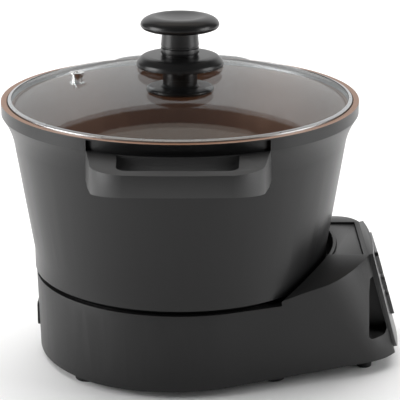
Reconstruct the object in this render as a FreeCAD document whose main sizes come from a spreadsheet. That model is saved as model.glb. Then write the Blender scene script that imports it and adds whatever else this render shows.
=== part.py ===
import FreeCAD, Part
import Sketcher
import math
import os

# A countertop slow cooker: a low heating base with a control tower, a lift-off pot and a glass lid.
# +Z is up, +X points at the control panel, and Z = 0 is the worktop.
# The pot's axis stands at X = pot_axis_x, so that the origin is the middle of the object's footprint.

os.makedirs("parts", exist_ok=True)
doc = FreeCAD.newDocument("slow_cooker")
vector = FreeCAD.Vector
sheet = doc.addObject("Spreadsheet::Sheet", "Sizes")
nodes = {}


class Size:
    """A size that carries both its number and the sheet formula it comes from."""

    def __init__(self, value, text):
        self.value = float(value)
        self.text = text

    def joined(self, sign, other, value):
        return Size(value, f"({self.text} {sign} {as_size(other).text})")

    def __add__(self, other):
        return self.joined("+", other, self.value + as_size(other).value)

    def __sub__(self, other):
        return self.joined("-", other, self.value - as_size(other).value)

    def __mul__(self, other):
        return self.joined("*", other, self.value * as_size(other).value)

    def __truediv__(self, other):
        return self.joined("/", other, self.value / as_size(other).value)

    def __radd__(self, other):
        return as_size(other) + self

    def __rsub__(self, other):
        return as_size(other) - self

    def __rmul__(self, other):
        return as_size(other) * self

    def __neg__(self):
        return as_size(0) - self


def as_size(thing):
    return thing if isinstance(thing, Size) else Size(thing, repr(float(thing)))


def size(name, value):
    """One driving dimension: a plain number in the sheet, with an alias."""
    row = len(sheet.getUsedCells()) // 2 + 1
    sheet.set(f"A{row}", name)
    sheet.set(f"B{row}", str(value))
    sheet.setAlias(f"B{row}", name)
    return Size(value, f"Sizes.{name}")


# Clearances and walls shared by the whole object
body_gap = size("body_gap", 0.3)              # air between pieces that move apart
running_gap = size("running_gap", 0.08)       # radial play of a plunger in its guide
case_wall = size("case_wall", 2.5)

# Heating base: a round shell whose sides run on, tangent, into the tower
well_rim = size("well_rim", 5.0)                # width of the shell's top edge round the well
base_draft = size("base_draft", 1.6)          # how much narrower the shell is at its foot
base_top = size("base_top", 69.5)
skirt_bottom = size("skirt_bottom", 5.0)
skirt_lift = size("skirt_lift", 6.0)          # the skirt rises this much from the feet to the tower
skirt_step_x = size("skirt_step_x", -62.0)
side_angle = size("side_angle", 69.4)         # where the tower's sides leave the circle, in degrees
tower_rise = size("tower_rise", 22.0)
tower_flat = size("tower_flat", 41.0)         # half width of the flat between the shoulders
shoulder_radius = size("shoulder_radius", 95.0)
throat_gap = size("throat_gap", 5.5)            # air between the pot and the tower's hollow face
corner_low_out = size("corner_low_out", 2.0)    # where the side turns into the corner, from the panel's top
corner_high_in = size("corner_high_in", 50.0)

# Well that the pot's foot nests in
well_gap = size("well_gap", 2.5)
well_depth = size("well_depth", 15.5)
gasket_width = size("gasket_width", 2.0)

# Tray insert in the tower's top
tray_sink = size("tray_sink", 1.5)
tray_thick = size("tray_thick", 2.0)
tray_gap = size("tray_gap", 0.2)
tray_front_margin = size("tray_front_margin", 4.0)

# Leaning control panel, in its own frame: X out of the panel, Y across it, Z up it
panel_lean = size("panel_lean", 16.0)
tower_depth = size("tower_depth", 25.5)         # from the hollow face to the panel's back, at the top
panel_foot_z = size("panel_foot_z", 13.0)
panel_half_top = size("panel_half_top", 41.0)
panel_half_foot = size("panel_half_foot", 49.5)
fascia_edge = size("fascia_edge", 2.2)        # thickness at the fascia's sides
fascia_bulge = size("fascia_bulge", 4.0)      # how much thicker it is down its middle
fascia_back = size("fascia_back", 2.2)        # wall left behind the window's recess
window_half = size("window_half", 27.0)
window_low = size("window_low", 57.0)
window_high = size("window_high", 76.0)
window_proud = size("window_proud", 1.6)
key_half = size("key_half", 8.0)
key_pitch = size("key_pitch", 19.0)
key_proud = size("key_proud", 1.6)
key_travel = size("key_travel", 0.8)
key_flange = size("key_flange", 1.2)
upper_key_low = size("upper_key_low", 43.0)
upper_key_high = size("upper_key_high", 54.0)
lower_key_low = size("lower_key_low", 21.0)
lower_key_high = size("lower_key_high", 40.0)
board_half = size("board_half", 31.0)
board_depth = size("board_depth", 9.0)        # front of the control board behind the fascia's back
board_thick = size("board_thick", 1.6)

# Finger pockets behind the fascia, one in each side
pocket_depth = size("pocket_depth", 0.5)        # how far the pocket reaches behind the panel's top
pocket_low = size("pocket_low", 29.0)
pocket_high = size("pocket_high", 75.0)
pocket_mouth_top = size("pocket_mouth_top", 3.0)
pocket_fin = size("pocket_fin", 1.2)
pocket_floor = size("pocket_floor", 36.0)
pocket_round = size("pocket_round", 4.0)

# Feet and bottom cover
cover_low = size("cover_low", 12.5)
cover_thick = size("cover_thick", 2.5)
foot_radius = size("foot_radius", 9.5)
foot_inset = size("foot_inset", 14.055)         # from the base's side to a foot's middle, along the diagonal
tower_foot_radius = size("tower_foot_radius", 6.0)
tower_foot_in = size("tower_foot_in", 2.0)
tower_foot_y = size("tower_foot_y", 50.0)

# Heater stack
plate_inset = size("plate_inset", 16.5)
plate_lift = size("plate_lift", 3.0)            # plate above the well's floor
plate_thick = size("plate_thick", 9.0)
element_inset = size("element_inset", 26.0)
element_radius = size("element_radius", 3.6)
shield_inset = size("shield_inset", 6.0)
shield_drop = size("shield_drop", 10.0)
shield_thick = size("shield_thick", 0.8)

# Temperature sensor in the plate's middle
sensor_radius = size("sensor_radius", 11.0)
sensor_gap = size("sensor_gap", 2.0)
sensor_stem = size("sensor_stem", 4.0)

# Pot
rim_radius = size("rim_radius", 142.0)
rim_top = size("rim_top", 211.0)
rim_width = size("rim_width", 4.5)
rim_band = size("rim_band", 9.5)
ledge_drop = size("ledge_drop", 4.5)
ledge_width = size("ledge_width", 5.5)
flare_out = size("flare_out", 9.0)
flare_drop = size("flare_drop", 21.0)           # from the rim band down to the kink
flare_radius = size("flare_radius", 60.0)     # hollow curve between kink and rim band
waist_out = size("waist_out", 8.5)             # the waist stands out from the pot's foot
waist_band = size("waist_band", 15.0)
shoulder_gap = size("shoulder_gap", 4.5)        # shadow gap between pot and shell
pot_foot_radius = size("pot_foot_radius", 110.5)
pot_wall = size("pot_wall", 3.0)
pot_floor = size("pot_floor", 4.0)
band_setback = size("band_setback", 3.6)      # rim band above the handles
band_half = size("band_half", 67.0)

# Loop handles
handle_lift = size("handle_lift", 0.5)          # grip's flat above the rim band's foot
handle_depth = size("handle_depth", 26.0)
handle_out = size("handle_out", 47.0)
handle_half_wall = size("handle_half_wall", 70.0)
handle_half_corner = size("handle_half_corner", 61.5)
corner_out = size("corner_out", 23.0)
handle_half_front = size("handle_half_front", 38.0)
front_out = size("front_out", 45.3)
handle_corner_round = size("handle_corner_round", 30.0)
grip_depth = size("grip_depth", 13.0)
finger_half_wall = size("finger_half_wall", 50.0)
finger_half_front = size("finger_half_front", 43.0)
handle_slope = size("handle_slope", 10.0)     # how far the handle's underside climbs on its way out

# Lid
lid_gap = size("lid_gap", 0.8)
lid_band_width = size("lid_band_width", 2.8)
band_sheet = size("band_sheet", 0.5)
seam_gap = size("seam_gap", 0.05)             # between pieces that are gripped together
glass_thick = size("glass_thick", 4.0)
dome_rise = size("dome_rise", 26.0)
knob_hole = size("knob_hole", 4.5)
vent_spot = size("vent_spot", 82.0)
vent_radius = size("vent_radius", 6.0)
vent_bore = size("vent_bore", 2.2)
vent_seat = size("vent_seat", 1.6)             # the flat flange stands off the sloping glass
flange_radius = size("flange_radius", 34.4)
flange_height = size("flange_height", 9.0)
flange_chamfer = size("flange_chamfer", 4.0)
neck_radius = size("neck_radius", 15.2)
cap_radius = size("cap_radius", 31.2)
neck_step = size("neck_step", 3.0)
cap_rise = size("cap_rise", 18.0)               # underside of the cap above the flange
cap_thick = size("cap_thick", 13.0)
inner_post = size("inner_post", 13.7)
inner_disc = size("inner_disc", 26.7)
inner_drop = size("inner_drop", 5.0)            # inner knob's underside above the rim
washer_thick = size("washer_thick", 1.0)

# Mains inlet, screws and vents in the base
inlet_half = size("inlet_half", 14.0)
inlet_low = size("inlet_low", 20.0)
inlet_high = size("inlet_high", 40.0)
screw_radius = size("screw_radius", 1.6)
boss_radius = size("boss_radius", 4.5)
slot_length = size("slot_length", 30.0)
slot_half = size("slot_half", 2.0)
slot_inner = size("slot_inner", 38.0)
screw_clearance = size("screw_clearance", 2.0)
screw_head = size("screw_head", 3.4)
head_height = size("head_height", 2.2)
foot_recess = size("foot_recess", 6.0)

# Smaller parts of the heater stack
element_turn = size("element_turn", 15.0)
terminal_low = size("terminal_low", 30.0)
gasket_lip = size("gasket_lip", 1.2)
cap_height = size("cap_height", 6.0)
stem_over = size("stem_over", 2.0)
guide_drop = size("guide_drop", 4.0)
guide_height = size("guide_height", 6.0)
spring_wire = size("spring_wire", 0.5)
spring_radius = size("spring_radius", 6.5)
spring_turns = 4
bracket_reach = size("bracket_reach", 30.0)
bracket_half = size("bracket_half", 9.0)
fuse_x = size("fuse_x", 45.0)
fuse_y = size("fuse_y", 30.0)

# Electrics in the base
power_board_back = size("power_board_back", 14.0)
power_board_length = size("power_board_length", 44.0)
power_board_half = size("power_board_half", 33.0)
power_board_low = size("power_board_low", 20.0)
inlet_wall = size("inlet_wall", 2.0)
inlet_proud = size("inlet_proud", 0.0)
inlet_depth = size("inlet_depth", 24.0)
lead_radius = size("lead_radius", 1.4)

# Smaller parts of the control panel
fascia_round = size("fascia_round", 8.0)
module_depth = size("module_depth", 5.0)
screw_inset = size("screw_inset", 3.5)
switch_height = size("switch_height", 3.0)
stem_half = size("stem_half", 2.0)

# Rounds and studs of the pot and handles
foot_step = size("foot_step", 2.0)
base_round = size("base_round", 4.0)
floor_round = size("floor_round", 2.5)
front_bow = size("front_bow", 500.0)
finger_round = size("finger_round", 9.0)
stud_radius = size("stud_radius", 3.0)
stud_x = size("stud_x", 58.0)
stud_drop = size("stud_drop", 10.0)
stud_depth = size("stud_depth", 12.0)

# Smaller parts of the lid
dish = size("dish", 1.5)
screw_core = size("screw_core", 2.5)
disc_thick = size("disc_thick", 4.5)

# ---------------------------------------------------------------- small maths on sizes


def sine(angle):
    return Size(math.sin(math.radians(angle.value)), f"sin({angle.text} * 1 deg)")


def cosine(angle):
    return Size(math.cos(math.radians(angle.value)), f"cos({angle.text} * 1 deg)")


def root(thing):
    return Size(math.sqrt(thing.value), f"sqrt({thing.text})")


def between(low, high, share):
    return low + (high - low) * share


# Places and sizes that follow from the driving ones
rim_low = rim_top - rim_band
kink_radius = rim_radius - flare_out
kink_height = rim_low - flare_drop
waist_radius = pot_foot_radius + waist_out
well_radius = pot_foot_radius + well_gap
base_radius = well_radius + well_rim
shoulder_height = base_top + shoulder_gap
waist_height = shoulder_height + waist_band
tower_top = base_top + tower_rise
tower_throat = waist_radius + throat_gap
panel_top_x = tower_throat + tower_depth
corner_start_low = panel_top_x + corner_low_out
corner_start_high = panel_top_x - corner_high_in
pocket_left = panel_top_x - pocket_depth
tower_foot_x = panel_top_x - tower_foot_in
foot_spot = (base_radius - foot_inset) * math.sqrt(0.5)
well_floor = base_top - well_depth
plate_top = well_floor + plate_lift
plate_radius = pot_foot_radius - plate_inset
element_ring = plate_radius - element_inset
shield_radius = plate_radius - shield_inset
plate_opening = plate_radius + gasket_width
sensor_hole = sensor_radius + sensor_gap
handle_top = rim_low + handle_lift
handle_reach = rim_radius + handle_out
handle_corner_y = rim_radius + corner_out
handle_front_y = rim_radius + front_out
lid_radius = rim_radius - rim_width - lid_gap
panel_slope = sine(panel_lean) / cosine(panel_lean)
panel_foot_x = panel_top_x + (tower_top - panel_foot_z) * panel_slope
nose_x = panel_foot_x + (fascia_edge + fascia_bulge) * cosine(panel_lean)
pot_axis_x = (rim_radius - nose_x) / 2
loft_top = tower_top + 5
well_deck = well_floor - case_wall
pot_bottom = plate_top + body_gap
glass_edge_z = rim_top + 0.3
lid_seat = rim_top - ledge_drop

# ---------------------------------------------------------------- drawing and building


def bind(item, path, amount):
    item.setExpression(path, amount.text)


def put(item, x=0, y=0, z=0):
    """Place a piece, with its position bound to the sheet."""
    spots = {"x": as_size(x), "y": as_size(y), "z": as_size(z)}
    for axis, amount in spots.items():
        bind(item, f"Placement.Base.{axis}", amount)
    return item


def outline(sketch, corners, arcs=None):
    """Draw a closed outline anticlockwise; arcs maps an edge to its radius, negative where it is hollow."""
    arcs = {index: as_size(radius) for index, radius in (arcs or {}).items()}
    corners = [(as_size(across), as_size(up)) for across, up in corners]
    spots = [vector(across.value, up.value, 0) for across, up in corners]
    count = len(spots)
    starts = [2 if index in arcs and arcs[index].value < 0 else 1 for index in range(count)]
    for index, spot in enumerate(spots):
        following = spots[(index + 1) % count]
        if index not in arcs:
            sketch.addGeometry(Part.LineSegment(spot, following))
            continue
        radius = arcs[index].value
        chord = following - spot
        sagitta = abs(radius) - math.sqrt(radius ** 2 - chord.Length ** 2 / 4)
        outward = vector(chord.y, -chord.x, 0) / chord.Length * math.copysign(sagitta, radius)
        middle = (spot + following) / 2 + outward
        ends = (spot, following) if radius > 0 else (following, spot)
        sketch.addGeometry(Part.Arc(ends[0], middle, ends[1]))
    for index in range(count):
        following = (index + 1) % count
        ends = (index, 3 - starts[index], following, starts[following])
        sketch.addConstraint(Sketcher.Constraint("Coincident", *ends))
    for index, corner in enumerate(corners):
        for kind, amount, axis in zip(("DistanceX", "DistanceY"), corner, (-2, -1)):
            if amount.value == 0:
                sketch.addConstraint(Sketcher.Constraint("PointOnObject", index, starts[index], axis))
                continue
            rule = Sketcher.Constraint(kind, -1, 1, index, starts[index], amount.value)
            bind(sketch, f"Constraints[{sketch.addConstraint(rule)}]", amount)
    for index, radius in arcs.items():
        rule = Sketcher.Constraint("Radius", index, abs(radius.value))
        bind(sketch, f"Constraints[{sketch.addConstraint(rule)}]", radius if radius.value > 0 else -radius)


def body_sketch(body, role, corners, arcs=None):
    """A sketch on one of the body's own origin planes."""
    sketch = body.newObject("Sketcher::SketchObject", f"{body.Label}_sketch")
    plane = next(item for item in body.Origin.OriginFeatures if item.Role == role)
    sketch.AttachmentSupport = [(plane, "")]
    sketch.MapMode = "FlatFace"
    outline(sketch, corners, arcs)
    return sketch


def turned(label, corners, arcs=None, rounds=()):
    """A body turned about the Z axis; rounds lists (radius of a ring edge, its height, fillet radius)."""
    body = doc.addObject("PartDesign::Body", label)
    body.Label = label
    sketch = body_sketch(body, "XZ_Plane", corners, arcs)
    spin = body.newObject("PartDesign::Revolution", f"{label}_turn")
    spin.Profile = sketch
    spin.ReferenceAxis = (sketch, ["V_Axis"])
    spin.Angle = 360
    doc.recompute()
    tip = spin
    for ring, height, fillet in rounds:
        names = ring_edges(tip.Shape, ring, height)
        tip = rounded(body, tip, names, fillet)
    return body


def ring_edges(shape, ring, height):
    """The names of the circular edges of one radius at one height."""
    names = []
    for number, edge in enumerate(shape.Edges, 1):
        middle = edge.valueAt((edge.FirstParameter + edge.LastParameter) / 2)
        reach = math.hypot(middle.x, middle.y)
        if abs(reach - as_size(ring).value) < 0.01 and abs(middle.z - as_size(height).value) < 0.01:
            names.append(f"Edge{number}")
    return names


def rounded(body, base, names, radius):
    fillet = body.newObject("PartDesign::Fillet", f"{body.Label}_round")
    fillet.Base = (base, names)
    fillet.Radius = as_size(radius).value
    bind(fillet, "Radius", as_size(radius))
    doc.recompute()
    return fillet


def drawn(label, corners, arcs=None, plane="XY", lift=0):
    """A free sketch for lofts and extrusions, in the XY plane or the YZ plane."""
    sketch = doc.addObject("Sketcher::SketchObject", f"{label}_sketch")
    if plane == "YZ":
        sketch.Placement.Rotation = FreeCAD.Rotation(vector(1, 1, 1), 120)
    if plane == "XZ":
        sketch.Placement.Rotation = FreeCAD.Rotation(vector(1, 0, 0), 90)
    axis = {"XY": "z", "YZ": "x", "XZ": "y"}[plane]
    bind(sketch, f"Placement.Base.{axis}", as_size(lift))
    outline(sketch, corners, arcs)
    return sketch


def extruded(label, sketch, length, symmetric=False):
    item = doc.addObject("Part::Extrusion", label)
    item.Base = sketch
    item.DirMode = "Normal"
    item.Solid = True
    item.Symmetric = symmetric
    bind(item, "LengthFwd", as_size(length))
    return item


def cylinder(label, radius, low, high, x=0, y=0):
    item = doc.addObject("Part::Cylinder", label)
    bind(item, "Radius", as_size(radius))
    bind(item, "Height", as_size(high) - low)
    return put(item, x, y, low)


def block(label, low, high, round_axis=None, radius=0):
    """A box between two corners, its edges along one axis rounded if asked."""
    low = [as_size(amount) for amount in low]
    high = [as_size(amount) for amount in high]
    item = doc.addObject("Part::Box", label)
    for name, start, end in zip(("Length", "Width", "Height"), low, high):
        bind(item, name, end - start)
    put(item, *low)
    if round_axis is None:
        return item
    doc.recompute()
    fillet = doc.addObject("Part::Fillet", f"{label}_round")
    fillet.Base = item
    amount = as_size(radius).value
    numbers = [number for number, edge in enumerate(item.Shape.Edges, 1)
               if abs(edge.tangentAt(0).dot(round_axis)) > 0.99]
    fillet.Edges = [(number, amount, amount) for number in numbers]
    return fillet


def cut(label, base, *tools):
    """The base with every tool taken away."""
    for number, tool in enumerate(tools, 1):
        item = doc.addObject("Part::Cut", f"{label}_cut{number}")
        item.Base = base
        item.Tool = tool
        base = item
    return base


def common(label, base, tool):
    item = doc.addObject("Part::Common", f"{label}_common")
    item.Base = base
    item.Tool = tool
    return item


def joined(label, *pieces):
    item = doc.addObject("Part::MultiFuse", f"{label}_fuse")
    item.Shapes = list(pieces)
    item.Refine = True
    return item


def grouped(label, *pieces):
    item = doc.addObject("Part::Compound", f"{label}_group")
    item.Links = list(pieces)
    return item


def node(label, item, x=0, y=0, z=0, lean=None):
    """Name a finished piece and stand it in the object's frame."""
    if not item.isDerivedFrom("PartDesign::Body"):
        item = grouped(label, item)
    item.Label = label
    if lean is not None:
        item.Placement.Rotation = FreeCAD.Rotation(vector(0, 1, 0), -lean.value)
    put(item, pot_axis_x + x, y, z)
    nodes[label] = item
    return item


def panel_node(label, item):
    return node(label, item, x=panel_foot_x, z=panel_foot_z, lean=panel_lean)


def in_panel_frame(label, item):
    """The same lean and place as the panel, for a tool that cuts the housing."""
    tool = grouped(f"{label}_placed", item)
    tool.Placement.Rotation = FreeCAD.Rotation(vector(0, 1, 0), -panel_lean.value)
    return put(tool, panel_foot_x, 0, panel_foot_z)


# ---------------------------------------------------------------- heating base: housing


def casing_corners(inset, z):
    """Plan of the base at one height: a circle, straight sides tangent to it, and corners to the panel."""
    share = (z - skirt_bottom) / (base_top - skirt_bottom)
    radius = base_radius - base_draft + base_draft * share - inset
    rise = (z - skirt_bottom) / (loft_top - skirt_bottom)
    side_x = cosine(side_angle)
    side_y = sine(side_angle)
    front_x = panel_top_x + (tower_top - z) * panel_slope - inset
    front_y = between(panel_half_foot, panel_half_top, rise) - inset
    start_x = between(corner_start_low, corner_start_high, rise)
    start_y = (radius - start_x * side_x) / side_y
    step_x = front_x - start_x
    step_y = front_y - start_y
    corner_radius = -(step_x * step_x + step_y * step_y) / (2 * (step_x * side_x + step_y * side_y))
    corners = [(radius * side_x, radius * side_y), (-radius, 0), (radius * side_x, -(radius * side_y)),
               (start_x, -start_y), (front_x, -front_y), (front_x, front_y), (start_x, start_y)]
    return corners, {0: radius, 1: radius, 3: corner_radius, 5: corner_radius}


def casing(label, inset, low, high):
    """The solid between two plans of the base."""
    loft = doc.addObject("Part::Loft", label)
    plans = []
    for level in (low, high):
        corners, arcs = casing_corners(inset, level)
        plans.append(drawn(label, corners, arcs, lift=level))
    loft.Sections = plans
    loft.Solid = True
    loft.Ruled = True
    return loft


def crown(label, drop):
    """Everything under the tower's flat top and its falling shoulders, lowered by drop."""
    radius = shoulder_radius - drop
    centre_z = tower_top - shoulder_radius
    deck = base_top - drop
    fall = root(radius * radius - (deck - centre_z) * (deck - centre_z))
    shoulder_y = tower_flat + fall
    top = tower_top - drop
    wide = base_radius + 20
    corners = [(-wide, 0), (wide, 0), (wide, deck), (shoulder_y, deck), (tower_flat, top),
               (-tower_flat, top), (-shoulder_y, deck), (-wide, deck)]
    sketch = drawn(label, corners, {3: radius, 5: radius}, plane="YZ", lift=-wide)
    return extruded(label, sketch, wide + nose_x)


floor_low = skirt_bottom - 1
envelope = common("envelope", casing("outer_casing", as_size(0), skirt_bottom, loft_top),
                  crown("outer_crown", as_size(0)))
throat = cylinder("throat", tower_throat, base_top, loft_top + 1)
low_cavity = casing("low_cavity", case_wall, floor_low, well_deck)
tower_room = common("tower_room", casing("tower_casing", case_wall, well_deck - 1, loft_top),
                    crown("inner_crown", tray_sink + tray_thick + case_wall))
tower_cavity = cut("tower_cavity", tower_room, cylinder("throat_wall", tower_throat + case_wall, floor_low,
                                                        loft_top + 1))
well = cylinder("well", well_radius, well_floor, loft_top)
plate_hole = cylinder("plate_hole", plate_opening, floor_low, loft_top)
skirt_wedge = drawn("skirt_wedge", [
    (skirt_step_x, skirt_bottom - 1), (nose_x, skirt_bottom - 1), (nose_x, skirt_bottom + skirt_lift),
    (skirt_step_x, skirt_bottom)], plane="XZ")
skirt_trim = extruded("skirt_trim", skirt_wedge, base_radius * 2 + 10, symmetric=True)

# Tray recess in the tower's flat
tray_front = panel_top_x - tray_front_margin
tray_back = tower_throat + case_wall
tray_half = tower_flat - 1


def tray_outline(label, gap, low, high):
    """The tray's plan: hollow towards the pot and straight towards the panel."""
    half = tray_half - gap
    back = root((tray_back + gap) * (tray_back + gap) - half * half)
    corners = [(back, -half), (tray_front - gap, -half), (tray_front - gap, half), (back, half)]
    return extruded(label, drawn(label, corners, {3: -(tray_back + gap)}, lift=low), high - low)


tray_floor = tower_top - tray_sink - tray_thick
tray_recess = tray_outline("tray_recess", as_size(0), tray_floor, loft_top)

# Opening in the front wall for the electronics, and the finger pockets behind the fascia
panel_height = (tower_top - panel_foot_z) / cosine(panel_lean)
board_low = lower_key_low - 8
board_high = window_high + 1
front_opening = in_panel_frame("front_opening", block(
    "front_window", (-(case_wall * 4), -(board_half + 2), board_low - 2),
    (2, board_half + 2, board_high + 2),
    vector(1, 0, 0), 3))


def pocket_prism(label, inset, floor_y, side):
    """One finger pocket: upright at the back, leaning with the panel at the front."""
    def front_x(z):
        return panel_top_x + (tower_top - z) * panel_slope - pocket_fin + inset
    low = pocket_low - inset
    high = pocket_high + inset
    left = pocket_left - inset
    step = high - (front_x(high) - left - pocket_mouth_top) * 2 - 8
    corners = [(left + pocket_round, low), (front_x(low) - pocket_round, low),
               (front_x(low + pocket_round), low + pocket_round),
               (front_x(high), high), (front_x(high) - pocket_mouth_top, high), (left, step),
               (left, low + pocket_round)]
    sketch = drawn(label, corners, {1: pocket_round * 1.5, 6: pocket_round}, plane="XZ",
                   lift=floor_y * -side)
    item = extruded(label, sketch, 60)
    item.Reversed = side > 0
    return item


pockets = []
pocket_walls = []
for side, name in ((-1, "front"), (1, "rear")):
    pockets.append(pocket_prism(f"{name}_pocket", as_size(0), -pocket_floor, side))
    pocket_walls.append(pocket_prism(f"{name}_pocket_wall", as_size(2), -(pocket_floor - 2), side))

# Mains inlet opening in the back of the shell, and the bosses that the cover's screws bite into
inlet_hole = block("inlet_hole", (-(base_radius + 5), -inlet_half, inlet_low),
                   (-(base_radius - 12), inlet_half, inlet_high),
                   vector(1, 0, 0), 3)
boss_spots = [(foot_spot, foot_spot), (foot_spot, -foot_spot), (-foot_spot, foot_spot),
              (-foot_spot, -foot_spot),
              (tower_foot_x, tower_foot_y), (tower_foot_x, -tower_foot_y)]
cover_top = cover_low + cover_thick
bosses = []
for number, (boss_x, boss_y) in enumerate(boss_spots, 1):
    outer = cylinder(f"boss{number}", boss_radius, cover_top,
                     well_deck + 1 if number <= 4 else pocket_low - 1, boss_x, boss_y)
    bosses.append(cut(f"boss{number}", outer, cylinder(f"boss_bore{number}", screw_radius, 0,
                                                       cover_top + 12, boss_x, boss_y)))

# The shell: the outer form less its cavities, with the bosses and the pockets' linings joined to it
shell = cut("shell", envelope, throat, low_cavity, tower_cavity, well, plate_hole, skirt_trim)
boss_reach = common("boss_reach", joined("bosses", *bosses), envelope)
pocket_lining = common("pocket_lining", joined("pocket_walls", *pocket_walls), envelope)
housing = joined("housing", shell, boss_reach, pocket_lining)
housing = cut("base_housing", housing, *pockets, tray_recess, front_opening, inlet_hole)
node("base_housing", housing)

# Tray insert that closes the tower's top
tray = tray_outline("tray_blank", tray_gap, tray_floor, tower_top - tray_sink)
node("tray_insert", tray)

# Bottom cover, set up inside the skirt, with a ring of air slots
corners, arcs = casing_corners(case_wall + body_gap, cover_top)
cover_blank = extruded("cover_blank", drawn("cover_blank", corners, arcs, lift=cover_low), cover_thick)
slots = []
for number in range(8):
    slot = block(f"slot{number}", (slot_inner, -slot_half, cover_low - 1),
                 (slot_inner + slot_length, slot_half, cover_top + 1),
                 vector(0, 0, 1), 1.9)
    turn = grouped(f"slot{number}", slot)
    turn.Placement.Rotation = FreeCAD.Rotation(vector(0, 0, 1), 22.5 + 45 * number)
    slots.append(turn)
cover_holes = [cylinder(f"cover_hole{number}", screw_clearance, 0, cover_top + 1, boss_x, boss_y)
               for number, (boss_x, boss_y) in enumerate(boss_spots, 1)]
node("bottom_cover", cut("bottom_cover", cover_blank, grouped("cover_slots", *slots),
                         grouped("cover_holes", *cover_holes)))

# Feet: soft pads under the cover, each held by the screw that also closes the cover


def foot(label, radius, x, y):
    pad = cylinder(label, radius, 0, cover_low, x, y)
    recess = cylinder(f"{label}_recess", screw_head + 0.6, -1, foot_recess + head_height, x, y)
    return cut(label, pad, recess, cylinder(f"{label}_bore", screw_clearance, 0, cover_low + 1, x, y))


def screw(label, radius, head, low, shank_top, x=0, y=0):
    """A pan head below and a plain shank above it."""
    shank = cylinder(f"{label}_shank", radius, low + head_height, shank_top, x, y)
    return joined(label, cylinder(f"{label}_head", head, low, low + head_height, x, y), shank)


feet = []
screws = []
for number, (foot_x, foot_y) in enumerate(boss_spots, 1):
    radius = foot_radius if number <= 4 else tower_foot_radius
    feet.append(foot(f"foot{number}", radius, foot_x, foot_y))
    screws.append(screw(f"foot_screw{number}", screw_radius, screw_head, foot_recess, cover_top + 11,
                        foot_x, foot_y))
node("base_feet", grouped("base_feet", *feet[:4]))
node("tower_feet", grouped("tower_feet", *feet[4:]))
node("cover_screws", grouped("cover_screws", *screws))

# ---------------------------------------------------------------- heater stack

plate_low = plate_top - plate_thick
element_z = plate_low + 1
shield_low = plate_low - shield_drop
guide_low = shield_low - guide_drop
sensor_well = sensor_hole
plate = turned("heater_plate_blank", [(sensor_well, plate_low), (plate_radius, plate_low),
                                      (plate_radius, plate_top - 3),
                                      (plate_radius - 3, plate_top), (sensor_well, plate_top)])


def ring_tube(label, radius):
    item = doc.addObject("Part::Torus", label)
    bind(item, "Radius1", element_ring)
    bind(item, "Radius2", as_size(radius))
    item.Angle3 = 330
    item.Placement.Rotation = FreeCAD.Rotation(vector(0, 0, 1), 15)
    return put(item, 0, 0, element_z)


lead_x = element_ring * cosine(element_turn)
lead_y = element_ring * sine(element_turn)
terminals = [cylinder(f"terminal{number}", element_radius, terminal_low, element_z, lead_x, lead_y * side)
             for number, side in enumerate((-1, 1), 1)]
node("heater_plate", cut("heater_plate", plate, ring_tube("element_groove", element_radius),
                         *[cylinder(f"terminal_hole{number}", element_radius, 0, element_z, lead_x,
                                    lead_y * side)
                           for number, side in enumerate((-1, 1), 1)]))
node("heating_element", joined("heating_element", ring_tube("element_tube", element_radius), *terminals))

# Soft ring between the plate's edge and the well
node("plate_gasket", turned("plate_gasket", [
    (plate_radius, well_deck - 1), (plate_opening, well_deck - 1), (plate_opening, well_floor),
    (plate_opening + 3, well_floor), (plate_opening + 3, well_floor + gasket_lip),
    (plate_radius, well_floor)]))

# Dished shield under the plate, with holes for the sensor and the terminals
shield_rise = plate_low - shield_low
shield = turned("heat_shield_blank", [
    (sensor_hole + 2, shield_low), (shield_radius, shield_low), (shield_radius, shield_low + shield_rise),
    (shield_radius - shield_thick, shield_low + shield_rise),
    (shield_radius - shield_thick, shield_low + shield_thick),
    (sensor_hole + 2, shield_low + shield_thick)])
shield_holes = [cylinder(f"shield_hole{number}", element_radius + 2, shield_low - 1, shield_low + 3,
                         lead_x, lead_y * side)
                for number, side in enumerate((-1, 1), 1)]
node("heat_shield", cut("heat_shield", shield, *shield_holes))

# Temperature sensor: a sprung cap that touches the pot, in a bracket under the plate
sensor_top = pot_bottom - body_gap
guide_top = guide_low + guide_height
cap_floor = sensor_top - cap_height
node("sensor_cap", turned("sensor_cap", [
    (0, guide_low - stem_over), (sensor_stem, guide_low - stem_over), (sensor_stem, cap_floor),
    (sensor_radius, cap_floor),
    (sensor_radius, sensor_top), (0, sensor_top)], rounds=[(sensor_radius, sensor_top, 1.5)]))
spring_low = guide_top + spring_wire
spring_high = cap_floor - spring_wire
half_pitch = (spring_high - spring_low) / (spring_turns * 2)
half_ring_radius = root(spring_radius * spring_radius + half_pitch * half_pitch / 4)
half_ring_tilt = math.degrees(math.atan2(half_pitch.value / 2, spring_radius.value))
half_rings = []
for number in range(spring_turns * 2):
    # Each half turn is half a ring; every second one faces the other way, and they meet end to end
    ring = doc.addObject("Part::Torus", f"spring_half{number + 1}")
    bind(ring, "Radius1", half_ring_radius)
    bind(ring, "Radius2", spring_wire)
    ring.Angle3 = 180
    turn = FreeCAD.Rotation(vector(0, 0, 1), 180 * (number % 2))
    ring.Placement.Rotation = turn.multiply(FreeCAD.Rotation(vector(0, 1, 0), half_ring_tilt))
    half_rings.append(put(ring, 0, 0, spring_low + half_pitch * (number + 0.5)))
node("sensor_spring", joined("sensor_spring", *half_rings))
guide_bore = sensor_stem + running_gap
bracket_blank = joined("bracket_blank", cylinder("guide_tube", bracket_half, guide_low, guide_top),
                       block("bracket_bar", (-bracket_reach, -bracket_half, guide_low),
                             (bracket_reach, bracket_half, guide_low + 2)),
                       block("bracket_leg1", (-bracket_reach, -bracket_half, guide_low),
                             (-(bracket_reach - 2), bracket_half, shield_low)),
                       block("bracket_leg2", (bracket_reach - 2, -bracket_half, guide_low),
                             (bracket_reach, bracket_half, shield_low)))
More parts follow.
